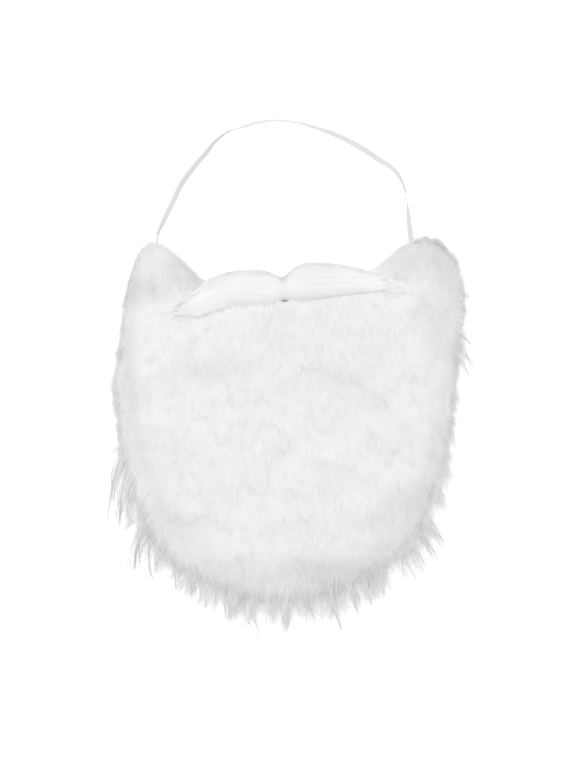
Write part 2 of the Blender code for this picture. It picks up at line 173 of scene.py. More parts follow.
def make_material(name):
    """A procedural finish: two tones in soft patches and fine grain, with bump from the grain."""
    look = LOOKS[name]
    made = bpy.data.materials.new(name)
    made.use_nodes = True
    tree = made.node_tree
    shader = tree.nodes["Principled BSDF"]
    set_inputs(shader, {
        "Roughness": look.roughness,
        "Sheen Weight": look.sheen,
        "Specular IOR Level": look.specular,
    })
    place = tree.nodes.new("ShaderNodeTexCoord")
    patches = tree.nodes.new("ShaderNodeTexNoise")
    set_inputs(patches, {"Scale": look.patch, "Detail": PATCH_DETAIL})
    grain = tree.nodes.new("ShaderNodeTexNoise")
    set_inputs(grain, {"Scale": look.grain, "Detail": GRAIN_DETAIL})
    both = tree.nodes.new("ShaderNodeMath")
    both.operation = "MULTIPLY_ADD"
    set_inputs(both, {1: look.grain_share})
    most = 1 + look.grain_share
    tones = tree.nodes.new("ShaderNodeMapRange")
    set_inputs(tones, {"From Min": TONES_FROM * most, "From Max": TONES_TO * most})
    mix = tree.nodes.new("ShaderNodeMix")
    mix.data_type = "RGBA"
    set_inputs(mix, {"A": (*look.dark, 1.0), "B": (*look.light, 1.0)})
    bump = tree.nodes.new("ShaderNodeBump")
    set_inputs(bump, {"Strength": look.bump, "Distance": BUMP_DISTANCE})
    link = tree.links.new
    link(place.outputs["Object"], patches.inputs["Vector"])
    link(place.outputs["Object"], grain.inputs["Vector"])
    link(grain.outputs["Fac"], both.inputs[0])
    link(patches.outputs["Fac"], both.inputs[2])
    link(both.outputs[0], tones.inputs["Value"])
    link(tones.outputs["Result"], mix.inputs["Factor"])
    link(mix.outputs["Result"], shader.inputs["Base Color"])
    link(grain.outputs["Fac"], bump.inputs["Height"])
    link(bump.outputs["Normal"], shader.inputs["Normal"])
    return made


# Painted shade: soft ovals in which the pile's colour is darkened where the light falls off, at the ears,
# the sides and the lower band, in millimetres

PaintedShade = namedtuple("PaintedShade", "x y wide tall lean tone")

PAINTED_SHADES = [
    PaintedShade(-90, 22, 19, 13, -42, 0.87),
    PaintedShade(-122, 8, 26, 12, 8, 0.88),
    PaintedShade(-137, 25, 8, 34, 4, 0.93),
    PaintedShade(-141, -52, 10, 64, 3, 0.91),
    PaintedShade(139, 52, 16, 20, 35, 0.95),
    PaintedShade(-126, 34, 24, 28, 0, 0.965),
    PaintedShade(125, 40, 30, 26, -50, 0.92),
    PaintedShade(146, 24, 10, 34, 14, 0.93),
    PaintedShade(131, -22, 14, 26, 20, 0.94),
    PaintedShade(105, 22, 20, 12, 30, 0.94),
    PaintedShade(-124, -140, 9, 40, 18, 0.94),
    PaintedShade(-104, -200, 26, 17, -40, 0.94),
    PaintedShade(42, -250, 40, 16, 6, 0.90),
    PaintedShade(98, -190, 30, 16, 42, 0.94),
    PaintedShade(-62, -238, 24, 12, -30, 0.97),
    PaintedShade(-62, -78, 44, 20, 0, 0.98),
    PaintedShade(40, -90, 30, 16, -10, 0.98),
    PaintedShade(25, -35, 80, 55, 0, 0.975),
]
PAINTED_SHADE_INNER = 0.1
PAINTED_SHADE_OUTER = 1.7

# Painted shade: loose hair's colour gets darker towards its ends, away from the beard's middle

HAIR_END_SHADE = PaintedShade(4, -60, 155, 215, 0, 0.78)
HAIR_NEAR = 1.03
HAIR_FAR = 1.22


def add_tones(surface, ovals):
    """Multiplies a finish's colour by soft ovals of painted shade, given as pairs of oval and span."""
    tree = surface.node_tree
    shader = tree.nodes["Principled BSDF"]
    colour = shader.inputs["Base Color"].links[0].from_socket
    for painted_spot, span in ovals:
        colour = tinted_by(tree, colour, painted_spot, span)
    tree.links.new(colour, shader.inputs["Base Color"])


def tinted_by(tree, colour, painted_spot, span):
    """The colour times a tone that goes from one value to another over a span of an oval."""
    link = tree.links.new
    place = tree.nodes.new("ShaderNodeTexCoord")
    oval = tree.nodes.new("ShaderNodeMapping")
    oval.vector_type = "TEXTURE"
    set_inputs(oval, {
        "Location": (painted_spot.x * MM, painted_spot.y * MM, 0.0),
        "Rotation": (0.0, 0.0, math.radians(painted_spot.lean)),
        "Scale": (painted_spot.wide * MM, painted_spot.tall * MM, 1.0),
    })
    reach = tree.nodes.new("ShaderNodeVectorMath")
    reach.operation = "LENGTH"
    fade = tree.nodes.new("ShaderNodeMapRange")
    fade.interpolation_type = "SMOOTHSTEP"
    set_inputs(fade, dict(zip(("From Min", "From Max", "To Min", "To Max"), span)))
    tinted = tree.nodes.new("ShaderNodeVectorMath")
    tinted.operation = "SCALE"
    link(place.outputs["Object"], oval.inputs["Vector"])
    link(oval.outputs["Vector"], reach.inputs[0])
    link(reach.outputs["Value"], fade.inputs["Value"])
    link(colour, tinted.inputs[0])
    link(fade.outputs["Result"], tinted.inputs["Scale"])
    return tinted.outputs["Vector"]


SURFACES = {name: make_material(name) for name in LOOKS}
# Painted shade on the pile, darker in soft ovals
add_tones(SURFACES["plush"], [(painted_spot, (PAINTED_SHADE_INNER, PAINTED_SHADE_OUTER, painted_spot.tone, 1.0)) for painted_spot in PAINTED_SHADES])
# Painted shade on loose hair, darker towards its ends
add_tones(SURFACES["loose_hair"], [(HAIR_END_SHADE, (HAIR_NEAR, HAIR_FAR, 1.0, HAIR_END_SHADE.tone))])


def make_camera():
    """A camera straight above the beard, with the photograph's framing."""
    lens = bpy.data.cameras.new("camera")
    lens.lens = LENS
    lens.sensor_width = SENSOR
    lens.clip_start = 0.1
    lens.clip_end = 50.0
    made = placed("camera", lens)
    across = (PICTURE_WIDE / 2 - ORIGIN_ACROSS) * PIXEL
    up = (ORIGIN_DOWN - PICTURE_TALL / 2) * PIXEL
    made.location = (across, up, PICTURE_TALL * PIXEL * LENS / SENSOR)
    bpy.context.scene.camera = made


make_camera()

# The elastic strap's route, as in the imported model: millimetres, degrees of roll, and the lift
# of its lower edge as a share of FUR_BOTTOM

Stop = namedtuple("Stop", "x y turn rise", defaults=[0.0])

STRAP_WIDTH = 0.005
STRAP_THICKNESS = 0.0008
STRAP_FLOOR_GAP = 0.0003
CURVE_STEPS = 12
STRAP_STATIONS = 640
STRAP_RING = 14
RIB_EVERY = 2
RIB_DEPTH = 0.00005
EDGE_SQUARENESS = 0.7
STRAP_ROUTE = [
    Stop(-113.6, 41.5, 72, 1),
    Stop(-113.9, 48, 76, 0.9),
    Stop(-114, 55.5, 78),
    Stop(-112.3, 62.1, 60),
    Stop(-108.3, 71.1, 30),
    Stop(-100.2, 87.9, 22),
    Stop(-91.8, 104.9, 20),
    Stop(-80.6, 120.2, 24),
    Stop(-70, 132.2, 38),
    Stop(-62.1, 142.2, 58),
    Stop(-50.4, 151.2, 78),
    Stop(-43.2, 153.7, 92),
    Stop(-34.2, 156.6, 130),
    Stop(-25.2, 159.3, 124),
    Stop(-7.2, 161.6, 112),
    Stop(10.8, 159.8, 116),
    Stop(28.8, 154.8, 132),
    Stop(47.7, 148.1, 160),
    Stop(66.6, 138.6, 176),
    Stop(84.6, 126.9, 172),
    Stop(99.9, 116.1, 150),
    Stop(107.6, 102.6, 116),
    Stop(110.3, 90, 92),
    Stop(111.6, 78.3, 52),
    Stop(112.5, 69.3, 22),
    Stop(113.6, 60.3, 6, 0.3),
    Stop(114.5, 52.2, 2, 1.6),
    Stop(114.8, 45.5, 0, 2.8),
]


def smooth_through(points):
    """Close-set points on a smooth curve through the given ones."""
    last = len(points) - 1
    slopes = []
    for i, point in enumerate(points):
        before = points[max(i - 1, 0)]
        after = points[min(i + 1, last)]
        run = (after - point).length + (point - before).length
        slopes.append((after - before) / run)
    curve = []
    for i in range(last):
        reach = (points[i + 1] - points[i]).length / 3
        stretch = interpolate_bezier(
            points[i],
            points[i] + slopes[i] * reach,
            points[i + 1] - slopes[i + 1] * reach,
            points[i + 1],
            CURVE_STEPS,
        )
        curve.extend(stretch if i == 0 else stretch[1:])
    return curve


def strap_stations():
    """Evenly spaced places along the strap, with its roll at each."""
    curve = smooth_through(
        [Vector((s.x * MM, s.y * MM, s.rise * FUR_BOTTOM)) for s in STRAP_ROUTE]
    )
    rolls = []
    for here, after in zip(STRAP_ROUTE, STRAP_ROUTE[1:]):
        for i in range(CURVE_STEPS - 1):
            share = i / (CURVE_STEPS - 1)
            rolls.append(towards(here.turn, after.turn, eased(share)))
    rolls.append(STRAP_ROUTE[-1].turn)
    points = np.array(curve)
    steps = np.linalg.norm(np.diff(points, axis=0), axis=1)
    along = np.concatenate([[0.0], np.cumsum(steps)])
    wanted = np.linspace(0.0, along[-1], STRAP_STATIONS)
    places = np.stack([np.interp(wanted, along, points[:, i]) for i in range(3)], axis=1)
    roll = np.radians(np.interp(wanted, along, rolls))
    standing = STRAP_WIDTH * np.abs(np.sin(roll)) + STRAP_THICKNESS * np.abs(np.cos(roll))
    places[:, 2] += STRAP_FLOOR_GAP + standing / 2
    return places, roll


def make_strap():
    """A flat woven band with fine crosswise ribs and rounded edges."""
    places, roll = strap_stations()
    ahead = unit(np.gradient(places, axis=0))
    level = unit(np.stack([-ahead[:, 1], ahead[:, 0], np.zeros(len(ahead))], axis=1))
    upward = np.cross(ahead, level)
    across = level * np.cos(roll)[:, None] + upward * np.sin(roll)[:, None]
    through = np.cross(ahead, across)
    angles = np.arange(STRAP_RING) * 2 * np.pi / STRAP_RING
    wide = np.sign(np.cos(angles)) * np.abs(np.cos(angles)) ** EDGE_SQUARENESS * STRAP_WIDTH / 2
    thick = np.sign(np.sin(angles)) * np.abs(np.sin(angles)) ** EDGE_SQUARENESS
    thick = thick * STRAP_THICKNESS / 2
    rib = np.where(np.arange(STRAP_STATIONS) % RIB_EVERY == 0, RIB_DEPTH, -RIB_DEPTH)
    swell = thick[None, :] + np.sign(thick)[None, :] * rib[:, None]
    rings = (
        places[:, None, :]
        + across[:, None, :] * wide[None, :, None]
        + through[:, None, :] * swell[:, :, None]
    )
    faces = tube_faces(STRAP_STATIONS, STRAP_RING)
    mesh = mesh_from("strap_band", rings.reshape(-1, 3), faces)
    band = add_piece("strap_band", mesh, "elastic")
    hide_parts("elastic_strap")


make_strap()


# Fields over the plan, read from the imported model

GRID_X = np.arange(LOW_X, HIGH_X + CELL, CELL)
GRID_Y = np.arange(LOW_Y, HIGH_Y + CELL, CELL)
grid_x, grid_y = np.meshgrid(GRID_X, GRID_Y)
MISS = -1.0
RAY_START = 0.2


def tree_of(name):
    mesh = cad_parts[name].data
    points = [v.co.copy() for v in mesh.vertices]
    return BVHTree.FromPolygons(points, [tuple(p.vertices) for p in mesh.polygons])


def first_hit(name, downward):
    """Height at which a vertical ray first meets a node, over the whole grid."""
    tree = tree_of(name)
    low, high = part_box(name)
    start = RAY_START if downward else -RAY_START
    ray = Vector((0.0, 0.0, -1.0 if downward else 1.0))
    found = np.full((len(GRID_Y), len(GRID_X)), MISS)
    for j, y in enumerate(GRID_Y):
        if not low[1] <= y <= high[1]:
            continue
        for i, x in enumerate(GRID_X):
            if low[0] <= x <= high[0]:
                hit = tree.ray_cast(Vector((x, y, start)), ray)[0]
                if hit:
                    found[j, i] = hit.z
    return found


def blurred(values, radius):
    """Gaussian blur of a grid, radius in metres."""
    reach = int(math.ceil(3 * radius / CELL))
    weights = np.exp(-0.5 * (np.arange(-reach, reach + 1) * CELL / radius) ** 2)
    weights /= weights.sum()
    wide = np.pad(values.astype(float), reach, mode="edge")
    rows = sum(w * wide[:, k:k + values.shape[1]] for k, w in enumerate(weights))
    return sum(w * rows[k:k + values.shape[0], :] for k, w in enumerate(weights))


def blurred_within(values, inside, radius):
    """Blur that reads only the cells inside, and fills the others from them."""
    share = blurred(inside, radius)
    total = blurred(np.where(inside, values, 0.0), radius)
    return total / np.maximum(share, 1e-6)


def between(field, i, j, a, b):
    """Blend of the four cells round a place, which lies a share a across and b along."""
    near = field[j, i] * (1 - a) + field[j, i + 1] * a
    far = field[j + 1, i] * (1 - a) + field[j + 1, i + 1] * a
    return near * (1 - b) + far * b


def read(field, x, y):
    """Values of a field at places, in arrays of any shape."""
    u = np.clip((x - LOW_X) / CELL, 0, len(GRID_X) - 1.001)
    v = np.clip((y - LOW_Y) / CELL, 0, len(GRID_Y) - 1.001)
    i = u.astype(int)
    j = v.astype(int)
    return between(field, i, j, u - i, v - j)


def backing_rim():
    """Edges round the backing's underside, as pairs of places."""
    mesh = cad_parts["backing"].data
    seen = {}
    for face in mesh.polygons:
        if face.normal.z > DOWN_FACING:
            continue
        for key in face.edge_keys:
            ends = [tuple(round(c, 6) for c in mesh.vertices[i].co[:2]) for i in key]
            ends = tuple(sorted(ends))
            seen[ends] = seen.get(ends, 0) + 1
    return np.array([ends for ends, times in seen.items() if times == 1])


CENTRE_X = 0.004
CENTRE_Y = -0.110
DRAWN_IN = 0.0092
DRAWN_AT = 58.0
DRAWN_OVER = 30.0
ROLL_REACH = 0.020
OUTWARD_BLUR = 0.003
DOWN_FACING = -0.7


def drawn_share():
    """How much of the drawing in applies in each direction from the middle, from 0 to 1."""
    compass = np.degrees(np.arctan2(grid_x - CENTRE_X, CENTRE_Y - grid_y))
    return np.exp(-(((compass - DRAWN_AT) / DRAWN_OVER) ** 2))


def rim_distance(inside):
    """Distance outward from the dense pile's rim, negative inside it.

    At the lower right the pile thins out early, so its rim is drawn in there.
    """
    rim = backing_rim()
    a = rim[:, 0]
    run = rim[:, 1] - a
    span = (run ** 2).sum(axis=1)
    away = np.empty_like(inside, dtype=float)
    for j, y in enumerate(GRID_Y):
        to_x = GRID_X[:, None] - a[None, :, 0]
        to_y = y - a[None, :, 1]
        share = np.clip((to_x * run[:, 0] + to_y * run[:, 1]) / span, 0, 1)
        gap_x = to_x - share * run[:, 0]
        gap_y = to_y - share * run[:, 1]
        away[j] = np.sqrt((gap_x ** 2 + gap_y ** 2).min(axis=1))
    return np.where(inside, -away, away) - BACKING_INSET + DRAWN_IN * drawn_share()


fur_top = first_hit("beard_fur", True)
moustache_top = first_hit("moustache", True)
moustache_foot = first_hit("moustache", False)
rim_away = rim_distance(first_hit("backing", True) > 0)
outward_y, outward_x = np.gradient(blurred(rim_away, OUTWARD_BLUR), CELL)


def lattice_noise(x, y, size, seed):
    """Smooth noise from -1 to 1 with features of a given size."""
    values = np.random.default_rng(seed).uniform(-1, 1, (256, 256))
    u = x / size + 100
    v = y / size + 100
    i = np.floor(u).astype(int)
    j = np.floor(v).astype(int)
    return between(values, i % 255, j % 255, eased(u - i), eased(v - j))


SURFACE_BLUR = 0.0025
STRAP_CLEAR = 0.0045
CLOUD_SIZE = 0.024
CLOUD_HEIGHT = 0.0007
LUMP_SIZE = 0.009
LUMP_HEIGHT = 0.00025
NESTLE_BLUR = 0.0032
NESTLE_SHARE = 0.80
TAIL_LEFT = 0.080
TAIL_RIGHT = 0.083
TAIL_SLANT_LEFT = 0.80
TAIL_SLANT_RIGHT = 0.47
TAIL_FADE = 0.018
TAIL_COVER = 0.0014
TAIL_BLUR = 0.002
TAIL_EDGE_BLUR = 0.0015
TAIL_EDGE = 0.3
NOTCH_X = 0.0008
NOTCH_Y = 0.0019
NOTCH_WIDE = 0.0026
NOTCH_TALL = 0.0034
NOTCH_DEEP = 0.016
NOTCH_PIT = 0.4
TUCK_BLUR = 0.0016
TUCK_SHARE = 0.80
DRAPE_POWER = 1.5
LOCK_SHARE = 0.8
JOIN_BLUR = 0.0015
UNDER_GAP = 0.0004
OVER_GAP = 0.0003
SLOPE_BLUR = 0.0028
SLOPE_GAIN = 1.2
RIM_GAIN = 0.32
RIM_BLEND = 0.030

inside_pile = rim_away < 0
covered = fur_top > 0
under_moustache = moustache_foot > 0
over_strap = np.zeros_like(covered)
for stop in STRAP_ROUTE[:3] + STRAP_ROUTE[-3:]:
    over_strap |= np.hypot(grid_x - stop.x * MM, grid_y - stop.y * MM) < STRAP_CLEAR
open_pile = inside_pile & covered & ~under_moustache & ~over_strap
pile_height = blurred_within(fur_top, open_pile, SURFACE_BLUR)
pile_height += CLOUD_HEIGHT * lattice_noise(grid_x, grid_y, CLOUD_SIZE, 41)
pile_height += LUMP_HEIGHT * lattice_noise(grid_x, grid_y * 0.6, LUMP_SIZE, 42)

# Where the rim is drawn in, the pile rolls down to it
roll_off = np.sin(np.pi / 2 * np.clip(-rim_away / ROLL_REACH, 0, 1))
rolled = towards(RIM_TOP, pile_height, roll_off)
pile_height += (np.minimum(rolled, pile_height) - pile_height) * drawn_share()

# Fine ridges and dents of the combed pile, from end to end in millimetres
Crease = namedtuple("Crease", "from_x from_y to_x to_y wide rise")

CREASES = [
    Crease(56, -61, 131, -124, 2.6, 1.7),
    Crease(96, -103, 128, -126, 2.6, 0.8),
    Crease(24, -141, 81, -157, 2.6, 0.8),
    Crease(77, -55, 83, -57, 4.5, 1.4),
    Crease(-61, -234, -31, -225, 2.4, 1.3),
    Crease(-31, -225, 14, -230, 2.2, 0.9),
    Crease(14, -245, 72, -252, 11, -2),
    Crease(-62, -228, -40, -219, 2.4, 0.6),
    Crease(-88, -67, -31, -67, 8, -1.4),
    Crease(-138, -73, -115, -69, 3.5, 1.3),
    Crease(-138, -112, -93, -114, 3, 0.8),
    Crease(-115, -121, -94, -121, 2.5, -0.6),
    Crease(-133, -128, -93, -126, 3, 0.7),
    Crease(-81, -157, -66, -141, 3.5, 0.8),
    Crease(-102, -206, -90, -210, 3, -1.1),
    Crease(113, -188, 113, -194, 3.2, -1.6),
    Crease(-45, -117, -36, -117, 4, -0.8),
    Crease(24, -72, 63, -77, 5, -1.1),
    Crease(-128, 10, -104, -4, 7, -1.6),
    Crease(-132, 34, -116, 30, 5, 0.9),
    Crease(140, 42, 150, -10, 9, -2.6),
    Crease(118, 20, 128, -30, 6, 0.8),
    Crease(-70, -250, -52, -258, 5, -2),
    Crease(36, -255, 50, -262, 6, -2.2),
]
for crease in CREASES:
    start = np.array([crease.from_x, crease.from_y]) * MM
    run = np.array([crease.to_x, crease.to_y]) * MM - start
    along = ((grid_x - start[0]) * run[0] + (grid_y - start[1]) * run[1]) / (run ** 2).sum()
    along = np.clip(along, 0, 1)
    gap = np.hypot(grid_x - start[0] - along * run[0], grid_y - start[1] - along * run[1])
    pile_height += crease.rise * MM * np.exp(-((gap / (crease.wide * MM)) ** 2))

# The pile sinks a little beside the moustache, which presses on it, and dips at the pinch
half_way = towards(moustache_foot, moustache_top, NESTLE_SHARE)
beside = blurred_within(half_way, under_moustache, NESTLE_BLUR)
nearness = eased(np.clip(2 * blurred(under_moustache, NESTLE_BLUR), 0, 1))
past_left = (grid_y * TAIL_SLANT_LEFT - grid_x - TAIL_LEFT) / TAIL_FADE
past_right = (grid_y * TAIL_SLANT_RIGHT + grid_x - TAIL_RIGHT) / TAIL_FADE
buried = np.clip(np.maximum(past_left, past_right), 0, 1)
nearness *= 1 - buried
pile_height += (np.minimum(beside, pile_height) - pile_height) * nearness
over_tail = blurred_within(moustache_top + TAIL_COVER, under_moustache, TAIL_BLUR)
near_tail = blurred(under_moustache, TAIL_EDGE_BLUR) > TAIL_EDGE
over_tail = np.maximum(pile_height, over_tail * near_tail)
pile_height += (over_tail - pile_height) * buried


def notch_gap(x, y):
    """Distance from the notch below the pinch, squared, as a share of the notch's size."""
    return ((x - NOTCH_X) / NOTCH_WIDE) ** 2 + ((y - NOTCH_Y) / NOTCH_TALL) ** 2


notch = NOTCH_DEEP * np.exp(-notch_gap(grid_x, grid_y))
pile_height -= notch

drape = 1 - np.clip(rim_away / DRAPE_REACH, 0, 1)
drape = towards(LOWEST_STRAND, RIM_TOP, drape ** DRAPE_POWER)
lock_height = blurred(np.where(covered, fur_top, 0.0), SURFACE_BLUR)
outside_height = np.maximum(drape, lock_height * LOCK_SHARE)
surface = np.where(inside_pile, pile_height, outside_height)
surface = blurred(surface, JOIN_BLUR)
base_ceiling = np.where(under_moustache, moustache_foot - UNDER_GAP, 1.0)
well_under = blurred(under_moustache, TUCK_BLUR) > TUCK_SHARE
ceiling = np.where(well_under, base_ceiling, 1.0)
over_floor = np.where(under_moustache, moustache_top + OVER_GAP, 0.0)
slope_y, slope_x = np.gradient(blurred(surface + notch, SLOPE_BLUR), CELL)
gain = towards(RIM_GAIN, SLOPE_GAIN, np.clip(-rim_away / RIM_BLEND, 0, 1))
slope_x = slope_x * gain
slope_y = slope_y * gain


# Clumps

def clumps_of(x, y, wide, tall, seed):
    """The nearest clump of each strand: its centre and three random numbers of its own."""
    traits = np.random.default_rng(seed).uniform(0, 1, (256, 256, 5))
    u = x / wide + 100
    v = y / tall + 100
    home_i = np.floor(u).astype(int)
    home_j = np.floor(v).astype(int)
    best = np.full(len(x), 1e9)
    centre = np.zeros((len(x), 2))
    own = np.zeros((len(x), 3))
    for dj in (-1, 0, 1):
        for di in (-1, 0, 1):
            i = home_i + di
            j = home_j + dj
            trait = traits[j % 256, i % 256]
            at_u = i + trait[:, 0]
            at_v = j + trait[:, 1]
            gap = (u - at_u) ** 2 + (v - at_v) ** 2
            closer = gap < best
            best = np.where(closer, gap, best)
            centre[closer, 0] = (at_u[closer] - 100) * wide
            centre[closer, 1] = (at_v[closer] - 100) * tall
            own[closer] = trait[closer, 2:]
    return centre, own, np.sqrt(best)


def outward_at(x, y):
    """Directions in the plan away from the beard's middle, across its rim."""
    return unit(np.stack([read(outward_x, x, y), read(outward_y, x, y)], axis=1))


# How the pile is combed

SIDE_LEAN = 24.0
WANDER = 8.0
WANDER_SIZE = 0.028
EDGE_TURN = 0.55
EDGE_REACH = 0.012
HALF_WIDTH = 0.150
EAR_TOP = 0.053
PILE_LENGTH = 0.024
EAR_LENGTH = 0.011


def heading_at(x, y):
    """Direction in which the pile is combed: down, leaning out at the sides and the rim."""
    lean = SIDE_LEAN * np.clip(x / HALF_WIDTH, -1.1, 1.1)
    lean = np.radians(lean + WANDER * lattice_noise(x, y, WANDER_SIZE, 21))
    ahead = np.stack([np.sin(lean), -np.cos(lean)], axis=1)
    out = outward_at(x, y)
    near = np.exp(np.minimum(read(rim_away, x, y), 0) / EDGE_REACH)
    turn = EDGE_TURN * near * np.clip(1 - 1.2 * out[:, 1], 0, 1)
    return unit(ahead * (1 - turn)[:, None] + out * turn[:, None])


def turned(ahead, angle):
    """Plan directions, each turned by its own angle."""
    c = np.cos(angle)
    s = np.sin(angle)
    return np.stack([ahead[:, 0] * c - ahead[:, 1] * s, ahead[:, 0] * s + ahead[:, 1] * c], axis=1)


# Strands as tapered ribbons

def facing_at(places):
    """Unit normals of the pile's surface, at any array of places."""
    x = places[..., 0]
    y = places[..., 1]
    return unit(np.stack([-read(slope_x, x, y), -read(slope_y, x, y), np.ones_like(x)], axis=-1))


def ribbons(name, lines, widths, rolls, look, facing, own_share):
    """One mesh of ribbons. Lines is strands by points by 3, and each ribbon ends in a tip.

    Their normals are mostly those of the surface that they lie on, as in soft fur.
    """
    count, points, _ = lines.shape
    ahead = unit(np.gradient(lines, axis=1))
    level = unit(np.stack([-ahead[:, :, 1], ahead[:, :, 0], np.zeros((count, points))], axis=2))
    up = np.array([0.0, 0.0, 1.0])
    side = level * np.cos(rolls)[:, None, None] + up * np.sin(rolls)[:, None, None]
    half = side * widths[:, :, None] / 2
    pairs = np.stack([lines + half, lines - half], axis=2)[:, :-1].reshape(count, -1, 3)
    verts = np.concatenate([pairs, lines[:, -1:]], axis=1)
    own = np.cross(ahead, side)
    soft = unit(own * own_share + facing * (1 - own_share))
    twice = np.repeat(soft[:, :-1], 2, axis=1)
    normals = np.concatenate([twice, soft[:, -1:]], axis=1)
    each = 2 * (points - 1) + 1
    corners = []
    for k in range(points - 2):
        corners += [2 * k, 2 * k + 1, 2 * k + 3, 2 * k + 2]
    corners += [2 * (points - 2), 2 * (points - 2) + 1, 2 * (points - 1)]
    sizes = [4] * (points - 2) + [3]
    first = np.arange(count) * each
    loops = (first[:, None] + np.array(corners)[None, :]).ravel()
    starts = np.concatenate([[0], np.cumsum(np.tile(sizes, count))[:-1]])
    mesh = bpy.data.meshes.new(name)
    mesh.vertices.add(count * each)
    mesh.vertices.foreach_set("co", verts.astype(np.float32).ravel())
    mesh.loops.add(len(loops))
    mesh.loops.foreach_set("vertex_index", loops.astype(np.int32))
    mesh.polygons.add(len(starts))
    mesh.polygons.foreach_set("loop_start", starts.astype(np.int32))
    mesh.update(calc_edges=True)
    mesh.shade_smooth()
    mesh.normals_split_custom_set_from_vertices(normals.reshape(-1, 3))
    add_piece(name, mesh, look)


def curved(root, middle, tip, shares):
    """Points on each strand's own curve, by shares that all strands or each of them has."""
    s = np.array(shares)[..., None]
    return (
        root[:, None, :] * (1 - s) ** 2
        + middle[:, None, :] * 2 * s * (1 - s)
        + tip[:, None, :] * s ** 2
    )


def lifted(plan, offsets):
    """Adds heights: each point its own offset above the surface, clear of floor and moustache."""
    x = plan[:, :, 0]
    y = plan[:, :, 1]
    z = read(surface, x, y) + offsets
    under = np.minimum(z, read(ceiling, x, y))
    z = np.maximum(np.where(z > read(over_floor, x, y), z, under), LOWEST_STRAND)
    return np.concatenate([plan, z[:, :, None]], axis=2)


# The dense pile

PILE_SPACING = 0.00090
PILE_SHARES = [0.0, 0.36, 0.70, 1.0]
PILE_DEPTHS = [-0.0007, 0.0001, 0.0003, 0.0003]
PILE_WIDTH = 0.00050
PILE_TAPER = [1.0, 1.0, 0.85, 0.0]
PILE_OWN_NORMAL = 0.03
PILE_ROLL = 0.12
PILE_UNEVEN = 0.00006
TIP_UNEVEN = 0.0001
HIDDEN_BLUR = 0.004
HIDDEN_SHARE = 0.9
ROOT_INSET = 0.0005
TIP_SPREAD = 0.0010
CLUMP_WIDE = 0.0050
CLUMP_TALL = 0.0105
CLUMP_PULL = 0.18
EAR_PULL = 0.3
CLUMP_TURN = 5.0
CLUMP_DOME = 0.0002
LOCK_WIDE = 0.015
LOCK_TALL = 0.026
LOCK_TURN = 5.0
LOCK_STEP = 0.0002
STRAND_TURN = 9.0
RIM_SHORT_SIDE = 0.14
RIM_SHORT_FOOT = 0.34
RIM_UNEVEN = 0.10
RIM_UNEVEN_SIZE = 0.009
RIM_FADE = 0.022
STRAY_SHARE = 0.012
STRAY_LIFT = 0.0018
STRAY_MOST = 0.005
PILE_PIECES = 4


def scattered(spacing):
    """Places over the whole plan, each moved at random by up to half the spacing."""
    xs = np.arange(LOW_X, HIGH_X, spacing)
    ys = np.arange(LOW_Y, HIGH_Y, spacing)
    x, y = np.meshgrid(xs, ys)
    x = x + chance.uniform(-0.5, 0.5, x.shape) * spacing
    y = y + chance.uniform(-0.5, 0.5, y.shape) * spacing
    return x.ravel(), y.ravel()


def pile_roots():
    """Roots over the dense pile, leaving out those hidden deep below the moustache."""
    x, y = scattered(PILE_SPACING)
    hidden = read(blurred(under_moustache * (1 - buried), HIDDEN_BLUR), x, y) > HIDDEN_SHARE
    pit = notch_gap(x, y) < NOTCH_PIT
    keep = (read(rim_away, x, y) < -ROOT_INSET) & ~hidden & ~pit
    return x[keep], y[keep]


